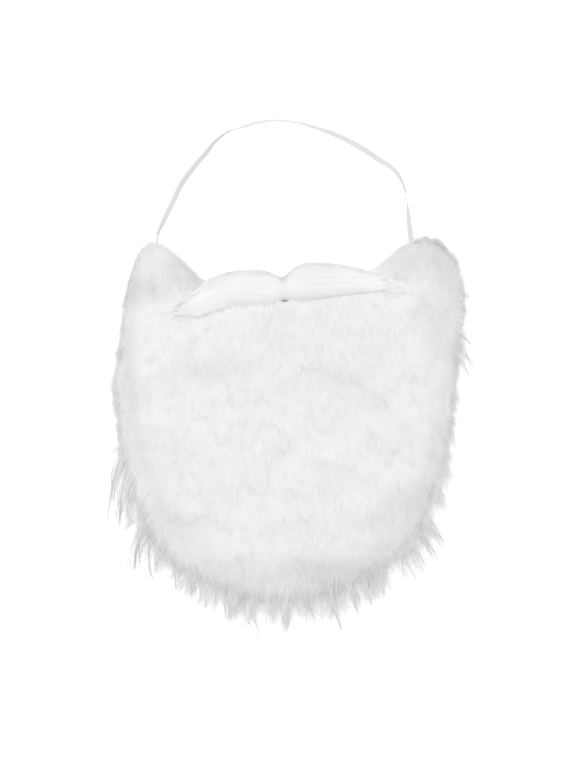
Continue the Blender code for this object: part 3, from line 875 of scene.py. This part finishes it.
def make_pile():
    """The dense pile: combed strands that draw together a little in clumps and locks."""
    x, y = pile_roots()
    count = len(x)
    root = np.stack([x, y], axis=1)
    small, own, spread = clumps_of(x, y, CLUMP_WIDE, CLUMP_TALL, 31)
    _, whole, _ = clumps_of(x, y, LOCK_WIDE, LOCK_TALL, 32)
    ear = np.clip(y / EAR_TOP, 0, 1)
    length = towards(PILE_LENGTH, EAR_LENGTH, ear)
    length = length * (0.85 + 0.3 * own[:, 0]) * chance.uniform(0.75, 1.1, count)
    foot = np.clip(-read(outward_y, x, y), 0, 1) ** 2
    short = towards(RIM_SHORT_SIDE, RIM_SHORT_FOOT, foot)
    short = short + RIM_UNEVEN * lattice_noise(x, y, RIM_UNEVEN_SIZE, 61)
    length *= short + (1 - short) * np.clip(-read(rim_away, x, y) / RIM_FADE, 0, 1)
    turn = CLUMP_TURN * (2 * own[:, 1] - 1) + LOCK_TURN * (2 * whole[:, 1] - 1)
    ahead = turned(heading_at(small[:, 0], small[:, 1]), np.radians(turn))
    loose = turned(ahead, np.radians(chance.normal(0, STRAND_TURN, count)))
    tip = root + loose * length[:, None]
    clump_tip = small + ahead * length[:, None]
    pull = CLUMP_PULL * chance.uniform(0.5, 1.0, count) * (1 + (EAR_PULL - 1) * ear)
    tip = tip * (1 - pull)[:, None] + clump_tip * pull[:, None]
    tip += chance.normal(0, TIP_SPREAD, tip.shape)
    middle = root + loose * (length * 0.5)[:, None] + chance.normal(0, TIP_SPREAD, tip.shape)
    plan = curved(root, middle, tip, PILE_SHARES)
    dome = CLUMP_DOME * (0.5 - np.clip(spread, 0, 1) ** 2)
    step = LOCK_STEP * (2 * whole[:, 2] - 1) + LOCK_STEP * (own[:, 2] - 0.5)
    offsets = np.array(PILE_DEPTHS)[None, :] + (dome + step)[:, None]
    offsets = offsets + chance.normal(0, PILE_UNEVEN, (count, 1))
    offsets[:, -1] += chance.normal(0, TIP_UNEVEN, count)
    stray = chance.uniform(0, 1, count) < STRAY_SHARE
    offsets[stray, -1] += np.minimum(chance.gamma(1.5, STRAY_LIFT / 1.5, stray.sum()), STRAY_MOST)
    lines = lifted(plan, offsets)
    widths = PILE_WIDTH * chance.uniform(0.7, 1.2, (count, 1)) * np.array([PILE_TAPER])
    rolls = chance.normal(0, PILE_ROLL, count)
    facing = facing_at(lines)
    order = np.argsort(-y)
    for k, part in enumerate(np.array_split(order, PILE_PIECES)):
        name = f"pile_{k + 1}"
        ribbons(
            name, lines[part], widths[part], rolls[part], "plush", facing[part], PILE_OWN_NORMAL
        )


make_pile()


# Locks and wisps round the rim

RAY_STEPS = 500
RAY_FROM = 0.03
RAY_REACH = 0.26


def rim_point(compass):
    """The rim's place in a direction from the beard's middle: degrees from straight down."""
    angle = np.radians(compass)
    reach = np.linspace(RAY_FROM, RAY_REACH, RAY_STEPS)
    x = CENTRE_X + np.sin(angle)[:, None] * reach
    y = CENTRE_Y - np.cos(angle)[:, None] * reach
    first = np.argmax(read(rim_away, x, y) > 0, axis=1)
    pick = np.arange(len(angle))
    return np.stack([x[pick, first], y[pick, first]], axis=1)


# Runs of hair round the rim, in degrees from straight down, to the right as positive. Long is
# millimetres past the rim, lean is degrees from straight down, full is the strands in a lock,
# and wisps is the number of loose tufts.

Run = namedtuple("Run", "first last locks long_first long_last lean_first lean_last full wisps")

RUNS = [
    Run(-142, -120, 16, 2, 4, -80, -70, 10, 8),
    Run(-120, -84, 36, 6, 13, -66, -44, 20, 26),
    Run(-84, -68, 6, 20, 31, -40, -34, 10, 30),
    Run(-68, -56, 5, 30, 28, -48, -44, 10, 18),
    Run(-56, -47, 6, 28, 26, -46, -36, 14, 14),
    Run(-47, -30, 13, 23, 25, -40, -26, 28, 18),
    Run(-30, -13, 12, 28, 37, -24, -8, 32, 20),
    Run(-13, 4, 12, 38, 38, -6, 8, 36, 18),
    Run(4, 16, 9, 37, 36, 4, 12, 34, 16),
    Run(16, 30, 12, 37, 34, 10, 22, 30, 20),
    Run(30, 48, 8, 33, 30, 18, 34, 16, 30),
    Run(48, 66, 4, 29, 28, 36, 36, 12, 34),
    Run(66, 88, 4, 24, 18, 34, 36, 10, 36),
    Run(88, 101, 4, 14, 12, 40, 46, 12, 32),
    Run(101, 112, 5, 14, 12, 46, 52, 16, 16),
    Run(112, 128, 9, 16, 13, 52, 66, 14, 26),
    Run(128, 146, 26, 7, 6, 75, 115, 16, 18),
]

# Tresses that stand out in the photograph, from root to tip in millimetres, with the bow of
# the middle to the right of the run, the half widths at root and tip, and the strands

Tress = namedtuple(
    "Tress", "from_x from_y to_x to_y bow half tip_half count thick", defaults=[0.36]
)

TRESSES = [
    Tress(-136, -122, -155, -214, 10, 5, 5, 16),
    Tress(-134, -139, -149, -212, 6, 5, 6, 14),
    Tress(-131, -158, -142, -213, 4, 5, 6.5, 9),
    Tress(-137, -128, -157, -178, 7, 4, 4, 11),
    Tress(-120, -198, -134, -256, 12, 5, 5.5, 12),
    Tress(-118, -208, -117, -260, 14, 5, 5, 9),
    Tress(-107, -214, -115, -254, 2, 6, 4.5, 16, 0.34),
    Tress(-96, -226, -95, -268, 2, 6, 3.5, 13, 0.34),
    Tress(-78, -237, -83, -277, 2, 6, 3.5, 11, 0.34),
    Tress(-66, -248, -74, -284, 3, 5, 5.5, 8),
    Tress(-52, -252, -50, -290, 0, 7.5, 2.6, 22, 0.34),
    Tress(-37, -258, -17, -307, 6, 4.5, 2, 12),
    Tress(-27, -260, -31, -298, -2, 5, 4, 9),
    Tress(-9, -262, -12, -298, 0, 7, 4, 14, 0.34),
    Tress(6, -262, 3, -305, 1, 7, 3, 16, 0.34),
    Tress(21, -259, 25, -295, 0, 7.5, 4, 14, 0.34),
    Tress(39, -254, 54, -301, 3, 5, 2, 10),
    Tress(46, -250, 42, -292, -2, 6.5, 5, 9),
    Tress(60, -245, 70, -294, 2, 6.5, 3.5, 10),
    Tress(69, -239, 80, -280, 2, 7, 5, 12, 0.34),
    Tress(84, -232, 92, -267, 2, 7, 5, 11, 0.34),
    Tress(99, -223, 111, -257, 2, 7, 6, 9),
    Tress(108, -215, 128, -248, -5, 7, 6.5, 9),
    Tress(114, -206, 141, -238, -8, 6, 6, 9),
    Tress(118, -197, 145, -226, -7, 6, 5, 7),
    Tress(132, -160, 150, -198, -3, 10, 10, 9),
    Tress(142, -110, 156, -144, -2, 13, 13, 10),
    Tress(151, -30, 175, -72, -2, 4, 1.8, 14),
    Tress(150, -42, 169, -73, -2, 4, 2.2, 12),
    Tress(154, -24, 172, -45, -2, 4, 2.2, 9),
]

# How a tuft is made. Half is its half width at the root, gather how far its strands draw
# together, stray how far each one bends away, reach the spread of their lengths.

Tuft = namedtuple(
    "Tuft", "sway curl shortest longest half gather stray reach_a reach_b thick lift look"
)

LOCK = Tuft(14, 0.25, 0.30, 1.40, 0.0032, 0.80, 0.12, 2.4, 1.3, 0.00032, 0.0007, "plush")
WISP = Tuft(22, 0.50, 0.40, 1.55, 0.0008, 0.70, 0.08, 5.0, 1.4, 0.00034, 0.0009, "loose_hair")
WISP_HAIRS = 7
LEFT_MOST = -0.166
RIGHT_MOST = 0.176
LOW_MOST = -0.320
LIFT_MOST = 0.005
FRINGE_POINTS = 6
FRINGE_TAPER = [1.0, 1.0, 1.0, 0.9, 0.7, 0.0]
FRINGE_LIFT = [0.0, 0.6, 1.0, 1.0, 0.7, 0.4]
FRINGE_OWN_NORMAL = 0.15
FRINGE_FLATTER = 0.80
ROOT_DEPTH = 0.022
FALL = 0.45
FRINGE_FROM = -0.0008
FRINGE_TO = 0.0006
FRINGE_ROLL = 0.5
WAVE = 0.0011
TRESS_ROOT = 0.009
TRESS_STRAY = 0.0022
BUNDLE = 5
BUNDLE_SPREAD = 0.00022
SPREAD_SHARE = 0.6


def repeated(values, times):
    """Each bundle's value, once for every strand of it."""
    return np.repeat(values, times, axis=0)


def waved(plan, size, together):
    """Strands with a slight wave, shared by those of a bundle."""
    count, points, _ = plan.shape
    ahead = unit(np.gradient(plan, axis=1))
    side = np.stack([-ahead[:, :, 1], ahead[:, :, 0]], axis=2)
    s = np.linspace(0, 1, points)[None, :]
    bundles = count // together
    turns = repeated(chance.uniform(0.6, 1.6, (bundles, 1)), together)
    phase = repeated(chance.uniform(0, 2 * np.pi, (bundles, 1)), together)
    share = repeated(chance.uniform(0.2, 1.0, (bundles, 1)), together)
    sway = np.sin(2 * np.pi * turns * s + phase) - np.sin(phase)
    return plan + side * (sway * size * share * np.sqrt(s))[:, :, None]


def tuft_strands(compass, lean, long, count, kind):
    """Plan lines of one tuft's strands, which leave the rim at a lean and fall towards the chin."""
    start = rim_point(np.array([compass]))[0]
    lean_root = math.radians(lean + chance.normal(0, kind.sway))
    lean_tip = lean_root * FALL + chance.normal(0, kind.curl)
    inward = chance.uniform(0, 1, count) * min(ROOT_DEPTH, 0.6 * long + 0.002)
    reach = long * chance.beta(kind.reach_a, kind.reach_b, count) + inward
    share = np.linspace(0, 1, FRINGE_POINTS)[None, :]
    bend = chance.normal(0, kind.stray, (count, 1)) + 0.12 * chance.normal(0, kind.stray)
    heading = lean_root + (lean_tip - lean_root + bend) * share
    step = reach[:, None] / (FRINGE_POINTS - 1)
    run_x = np.cumsum(np.sin(heading) * step, axis=1) - np.sin(heading[:, :1]) * step
    run_y = np.cumsum(-np.cos(heading) * step, axis=1) + np.cos(heading[:, :1]) * step
    ahead = np.array([math.sin(lean_root), -math.cos(lean_root)])
    beside = np.array([ahead[1], -ahead[0]])
    across = chance.normal(0, kind.half * (0.6 + long / 0.030), (count, 1))
    across = across * (1 - kind.gather * share * long / (long + 0.004))
    x = start[0] - ahead[0] * inward[:, None] + run_x + beside[0] * across
    y = start[1] - ahead[1] * inward[:, None] + run_y + beside[1] * across
    return np.stack([x, y], axis=2)


def make_fringe(name, kind, tufts_of, count_of):
    """Hair round the rim: every run's tufts, uneven in place, length and lean."""
    made = []
    for run in RUNS:
        for _ in range(tufts_of(run)):
            share = chance.uniform(0, 1)
            compass = towards(run.first, run.last, share)
            long = towards(run.long_first, run.long_last, share)
            long *= MM * chance.uniform(kind.shortest, kind.longest)
            lean = towards(run.lean_first, run.lean_last, share)
            made.append(tuft_strands(compass, lean, long, count_of(run), kind))
    plan = np.concatenate(made)
    lay_fringe(name, plan, np.full((len(plan), 1), kind.thick), kind.lift, 1, kind.look)


def lay_fringe(name, plan, thick, lift, together, look):
    """Lays strands of the fringe over pile and floor, inside the space that it may fill."""
    plan = waved(plan, WAVE, together)
    keep = (plan[:, :, 0].min(axis=1) > LEFT_MOST) & (plan[:, :, 0].max(axis=1) < RIGHT_MOST)
    keep = keep & (plan[:, :, 1].min(axis=1) > LOW_MOST)
    plan = plan[keep]
    count = len(plan)
    offsets = np.linspace(FRINGE_FROM, FRINGE_TO, FRINGE_POINTS)[None, :]
    rise = np.minimum(chance.gamma(1.6, lift, (count, 1)), LIFT_MOST)
    offsets = offsets + rise * np.array([FRINGE_LIFT])
    lines = lifted(plan, offsets)
    widths = thick[keep] * chance.uniform(0.6, 1.2, (count, 1)) * np.array([FRINGE_TAPER])
    rolls = chance.normal(0, FRINGE_ROLL, count)
    facing = facing_at(lines) * (1 - FRINGE_FLATTER) + np.array([0.0, 0.0, FRINGE_FLATTER])
    ribbons(name, lines, widths, rolls, look, facing, FRINGE_OWN_NORMAL)


def make_tresses():
    """The tresses that stand out, each a bowed bundle whose strands end at different places."""
    made = []
    thick = []
    for tress in TRESSES:
        count = tress.count * BUNDLE
        root = np.array([tress.from_x, tress.from_y]) * MM
        tip = np.array([tress.to_x, tress.to_y]) * MM
        ahead = (tip - root) / np.linalg.norm(tip - root)
        beside = np.array([ahead[1], -ahead[0]])
        each = (tress.count, 1)
        reach = repeated(chance.beta(4.0, 1.1, each), BUNDLE)
        reach = reach * chance.uniform(0.95, 1.08, (count, 1))
        at_root = repeated(chance.normal(0, tress.half * MM * SPREAD_SHARE, each), BUNDLE)
        at_root = at_root + chance.normal(0, BUNDLE_SPREAD, (count, 1))
        at_tip = repeated(chance.normal(0, tress.tip_half * MM * SPREAD_SHARE, each), BUNDLE)
        at_tip = at_tip + chance.normal(0, BUNDLE_SPREAD, (count, 1))
        starts = root - ahead * chance.uniform(0, TRESS_ROOT, (count, 1)) + beside * at_root
        ends = tip + beside * at_tip
        middles = (starts + ends) / 2 + beside * (tress.bow * MM)
        middles = middles + beside * repeated(chance.normal(0, TRESS_STRAY, each), BUNDLE)
        shares = reach * np.linspace(0, 1, FRINGE_POINTS)[None, :]
        made.append(curved(starts, middles, ends, shares))
        thick.append(np.full((count, 1), tress.thick * MM))
    plan = np.concatenate(made)
    lay_fringe("rim_tresses", plan, np.concatenate(thick), LOCK.lift, BUNDLE, "loose_hair")


FUZZ_SPACING = 0.0009
FUZZ_REACH = 0.0035
FUZZ_LONG = 0.0034
FUZZ_INSET = 0.0003
FUZZ_SHARES = [0.0, 0.5, 1.0]
FUZZ_DEPTHS = [-0.0010, 0.0002, 0.0002]
FUZZ_TAPER = [1.0, 0.8, 0.0]


def make_fuzz():
    """Short pile that stands out from the rim all the way round, over the body's edge."""
    x, y = scattered(FUZZ_SPACING)
    away = read(rim_away, x, y)
    keep = (away < -FUZZ_INSET) & (away > -FUZZ_REACH)
    x = x[keep]
    y = y[keep]
    count = len(x)
    out = outward_at(x, y)
    ahead = out * 0.9 + heading_at(x, y) * 0.3 + chance.normal(0, 0.25, (count, 2))
    ahead = unit(ahead)
    upper = np.clip(read(outward_y, x, y) * 2.5, 0, 1)
    length = FUZZ_LONG * chance.uniform(0.5, 1.2, count) * (1 - 0.6 * upper)
    root = np.stack([x, y], axis=1)
    tip = root + ahead * length[:, None]
    plan = curved(root, (root + tip) / 2, tip, FUZZ_SHARES)
    offsets = np.array([FUZZ_DEPTHS]) + chance.normal(0, 0.0003, (count, 1))
    lines = lifted(plan, offsets)
    widths = PILE_WIDTH * chance.uniform(0.7, 1.1, (count, 1)) * np.array([FUZZ_TAPER])
    rolls = chance.normal(0, FRINGE_ROLL, count)
    ribbons("rim_fuzz", lines, widths, rolls, "plush", facing_at(lines), PILE_OWN_NORMAL)


make_fringe("rim_locks", LOCK, lambda run: run.locks, lambda run: run.full)
make_fringe("rim_wisps", WISP, lambda run: run.wisps, lambda run: WISP_HAIRS)
make_tresses()
make_fuzz()


# The soft body of the pile, below the strands

BASE_STEP = 2
BASE_DEPTH = 0.0002
BASE_WALL = 0.0008
BASE_FADE = 0.0045
BASE_GAP = 0.001


def thinned(field):
    """Every second cell of a field, each way."""
    return field[::BASE_STEP, ::BASE_STEP]


def make_base():
    """A closed body with the pile's own form, a little below the strands' tips."""
    away = thinned(rim_away)
    inside = away < 0
    rows, columns = inside.shape
    tall = thinned(pile_height)
    out_x = thinned(outward_x)
    out_y = thinned(outward_y)
    foot = thinned(base_ceiling)
    used = np.zeros_like(inside)
    cells = []
    for j in range(rows - 1):
        for i in range(columns - 1):
            if inside[j:j + 2, i:i + 2].any():
                cells.append((j, i))
                used[j:j + 2, i:i + 2] = True
    number = -np.ones(inside.shape, dtype=int)
    number[used] = np.arange(used.sum())
    number = number.tolist()
    tops = []
    feet = []
    for j, i in np.argwhere(used):
        x = GRID_X[i * BASE_STEP]
        y = GRID_Y[j * BASE_STEP]
        if not inside[j, i]:
            x -= away[j, i] * out_x[j, i]
            y -= away[j, i] * out_y[j, i]
        fade = min(max(-away[j, i] / BASE_FADE, 0.0), 1.0)
        high = FUR_BOTTOM + BASE_WALL + (tall[j, i] - BASE_DEPTH - FUR_BOTTOM - BASE_WALL) * fade
        high = min(max(high, FUR_BOTTOM + BASE_WALL), foot[j, i] - BASE_GAP)
        tops.append((x, y, high))
        feet.append((x, y, FUR_BOTTOM))
    shift = len(tops)
    faces = []
    edges = {}
    for j, i in cells:
        a, b = number[j][i:i + 2]
        d, c = number[j + 1][i:i + 2]
        faces.append((a, b, c, d))
        faces.append((d + shift, c + shift, b + shift, a + shift))
        for pair in ((a, b), (b, c), (c, d), (d, a)):
            edges[pair] = True
    for a, b in edges:
        if (b, a) not in edges:
            faces.append((b, a, a + shift, b + shift))
    mesh = mesh_from("pile_base", tops + feet, faces)
    base = add_piece("pile_base", mesh, "plush")
    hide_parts("beard_fur")


make_base()


# The moustache

HANK_STATIONS = 170
HANK_RING = 44
HANK_ANGLES = np.arange(HANK_RING) * 2 * np.pi / HANK_RING
END_INSET = 0.0008
GROOVES = 14
GROOVE_DEPTH = 0.00012
FIBRES = 11000
FIBRE_WIDTH = 0.00030
FIBRE_POINTS = 5
FIBRE_TAPER = [0.6, 1.0, 1.0, 0.8, 0.0]
FIBRE_ROLL = 0.25
FIBRE_OWN_NORMAL = 0.15
LYING_FROM = 0.15
HANK_ROUNDNESS = 0.24
PINCH_SHARE = 0.505
PINCH_OVERLAP = 0.012
TAIL_FROM = 0.34
TAIL_SPREAD = 0.0032
TAIL_DROP = 0.0015
TAIL_THINNING = 0.55
TAIL_RUN = 0.10
TAIL_FIBRES = 0.14


def hank_sections():
    """Rings across the moustache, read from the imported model, as stations by angles by 3."""
    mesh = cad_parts["moustache"].data
    points = np.array([v.co for v in mesh.vertices])
    pairs = np.array([e.vertices for e in mesh.edges])
    a = points[pairs[:, 0]]
    b = points[pairs[:, 1]]
    low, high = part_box("moustache")
    xs = np.linspace(low[0] + END_INSET, high[0] - END_INSET, HANK_STATIONS)
    rings = []
    for x in xs:
        crossing = (a[:, 0] - x) * (b[:, 0] - x) < 0
        share = (x - a[crossing, 0]) / (b[crossing, 0] - a[crossing, 0])
        cut = a[crossing, 1:] + (b[crossing, 1:] - a[crossing, 1:]) * share[:, None]
        middle = (cut.min(axis=0) + cut.max(axis=0)) / 2
        half = np.maximum((cut.max(axis=0) - cut.min(axis=0)) / 2, 1e-5)
        off_y, off_z = ((cut - middle) / half).T
        around = np.arctan2(off_z, off_y)
        radius = np.hypot(off_z, off_y)
        order = np.argsort(around)
        radius = np.interp(HANK_ANGLES, around[order], radius[order], period=2 * np.pi)
        y = middle[0] + half[0] * radius * np.cos(HANK_ANGLES)
        z = middle[1] + half[1] * radius * np.sin(HANK_ANGLES)
        rings.append(np.stack([np.full(HANK_RING, x), y, z], axis=1))
    return np.array(rings)


def grooves(along, around):
    """Shallow lengthwise grooves as the combed fibre has, from -1 to 1."""
    dice = np.random.default_rng(77)
    total = 0.0
    for _ in range(GROOVES):
        waves = dice.integers(5, 34)
        drift = dice.uniform(-3, 3)
        total = total + np.sin(waves * around + dice.uniform(0, 6.28) + drift * along * 6.28)
    return total / GROOVES ** 0.5


def tail_share(along, most):
    """How far along a tail a place lies: 0 up to the tail's start, 1 at its end."""
    return np.clip((np.abs(along - PINCH_SHARE) - TAIL_FROM) / (0.5 - TAIL_FROM), 0, most)


def make_hank():
    """The moustache's soft body, grooved lengthwise and thinner at its tails."""
    rings = hank_sections()
    along = np.linspace(0, 1, HANK_STATIONS)[:, None]
    out = rings - rings.mean(axis=1, keepdims=True)
    size = np.linalg.norm(out, axis=2)
    out = unit(out)
    deep = np.minimum(GROOVE_DEPTH, size * 0.08) * grooves(along, HANK_ANGLES[None, :])
    thinning = size * TAIL_THINNING * tail_share(along, 1)
    soft = rings + out * (deep - GROOVE_DEPTH - thinning)[:, :, None]
    faces = tube_faces(HANK_STATIONS, HANK_RING)
    mesh = mesh_from("moustache_body", soft.reshape(-1, 3), faces)
    facing = out.reshape(-1, 3) * HANK_ROUNDNESS
    facing[:, 2] += (1 - HANK_ROUNDNESS) * np.where(facing[:, 2] > -0.05, 1, -1)
    mesh.normals_split_custom_set_from_vertices(unit(facing))
    body = add_piece("moustache_body", mesh, "combed_fibre")
    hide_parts("moustache")
    return rings, out


def on_hank(rings, out, u, v, high):
    """Places on the moustache: u along it from 0 to 1, v round it in radians, and a height."""
    a = np.clip(u, 0, 1) * (HANK_STATIONS - 1.001)
    b = (v / (2 * np.pi) * HANK_RING) % HANK_RING
    i = a.astype(int)
    j = b.astype(int) % HANK_RING
    k = (j + 1) % HANK_RING
    s = (a - i)[..., None]
    t = (b - np.floor(b))[..., None]

    def blend(grid):
        near = grid[i, j] * (1 - t) + grid[i, k] * t
        far = grid[i + 1, j] * (1 - t) + grid[i + 1, k] * t
        return near * (1 - s) + far * s

    return blend(rings) + blend(out) * high[..., None]


def make_fibres(rings, out):
    """Fine fibres laid lengthwise over the moustache, which part into wisps at its tails."""
    begin = chance.uniform(0.02, 0.98, FIBRES)
    toward = np.where(begin < PINCH_SHARE, -1, 1)
    begin = begin - toward * PINCH_OVERLAP
    long = chance.uniform(0.05, 0.14, FIBRES)
    at_tail = np.abs(begin - PINCH_SHARE) > TAIL_FROM - 0.02
    kept = ~at_tail | (chance.uniform(0, 1, FIBRES) < TAIL_FIBRES)
    begin, toward, long = begin[kept], toward[kept], long[kept]
    count = len(begin)
    v = chance.uniform(-0.5, np.pi + 0.5, count)
    share = np.linspace(0, 1, FIBRE_POINTS)
    u = begin[:, None] + toward[:, None] * long[:, None] * share[None, :]
    drift = chance.normal(0, 0.05, count)
    around = v[:, None] + drift[:, None] * share[None, :]
    high = chance.uniform(0.00002, 0.00028, (count, 1)) * np.sin(np.pi * (0.15 + 0.85 * share))
    lines = on_hank(rings, out, u, around, high)
    past = np.clip(u - 1, 0, None) + np.clip(u, None, 0)
    lines[:, :, 0] += past * TAIL_RUN
    tail = tail_share(u, 1.6) ** 2
    lines[:, :, 1] += tail * chance.normal(0, TAIL_SPREAD, (count, 1))
    lines[:, :, 1] -= tail * TAIL_DROP
    lying = read(surface, lines[:, :, 0], lines[:, :, 1])
    lying = lying + chance.uniform(0.0002, 0.0008, (count, 1))
    raised = np.maximum(lines[:, :, 2], lying * (tail > LYING_FROM))
    lines[:, :, 2] = np.where(np.abs(past) > 0, lying, raised)
    widths = FIBRE_WIDTH * chance.uniform(0.6, 1.2, (count, 1)) * np.array([FIBRE_TAPER])
    facing = np.where(np.cos(v) > 0, 1, -1) * (np.abs(np.cos(v)) * 1.2)
    rolls = chance.normal(0, FIBRE_ROLL, count) - facing
    rolls = np.where(toward > 0, rolls, -rolls)
    rolls = np.where(np.abs(begin - PINCH_SHARE) > TAIL_FROM, rolls * 0.3, rolls)
    facing = on_hank(out, out * 0, u, around, high)
    flat = np.clip(tail * 2, 0, 1)[:, :, None]
    facing = facing * (1 - flat) + facing_at(lines) * flat
    facing = facing * HANK_ROUNDNESS + np.array([0.0, 0.0, 1 - HANK_ROUNDNESS])
    look = "combed_fibre"
    ribbons("moustache_fibres", lines, widths, rolls, look, unit(facing), FIBRE_OWN_NORMAL)


make_fibres(*make_hank())


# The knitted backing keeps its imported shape

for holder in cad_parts["backing"].material_slots:
    holder.link = "OBJECT"
    holder.material = SURFACES["knit"]


def make_stage():
    """A pale floor that glows a little, an even sky and one large soft lamp."""
    half = FLOOR_SIZE / 2
    corners = [(-half, -half), (half, -half), (half, half), (-half, half)]
    mesh = mesh_from("floor", [(x, y, -FLOOR_DROP) for x, y in corners], [(0, 1, 2, 3)])
    pale = bpy.data.materials.new("floor")
    pale.use_nodes = True
    set_inputs(pale.node_tree.nodes["Principled BSDF"], {
        "Base Color": FLOOR_TONE,
        "Roughness": 0.9,
        "Specular IOR Level": 0.1,
        "Emission Color": WHITE,
        "Emission Strength": FLOOR_GLOW,
    })
    mesh.materials.append(pale)
    placed("floor", mesh)
    world = bpy.data.worlds.new("world")
    world.use_nodes = True
    back = world.node_tree.nodes["Background"]
    set_inputs(back, {"Color": WHITE, "Strength": WORLD_STRENGTH})
    bpy.context.scene.world = world
    lamp = bpy.data.lights.new("key", "AREA")
    lamp.energy = KEY_POWER
    lamp.size = KEY_SIZE
    key = placed("key", lamp)
    key.location = KEY_PLACE
    aim = Vector(KEY_AIM) - Vector(KEY_PLACE)
    key.rotation_euler = aim.to_track_quat("-Z", "Y").to_euler()
    bpy.context.scene.view_settings.view_transform = "Standard"


make_stage()
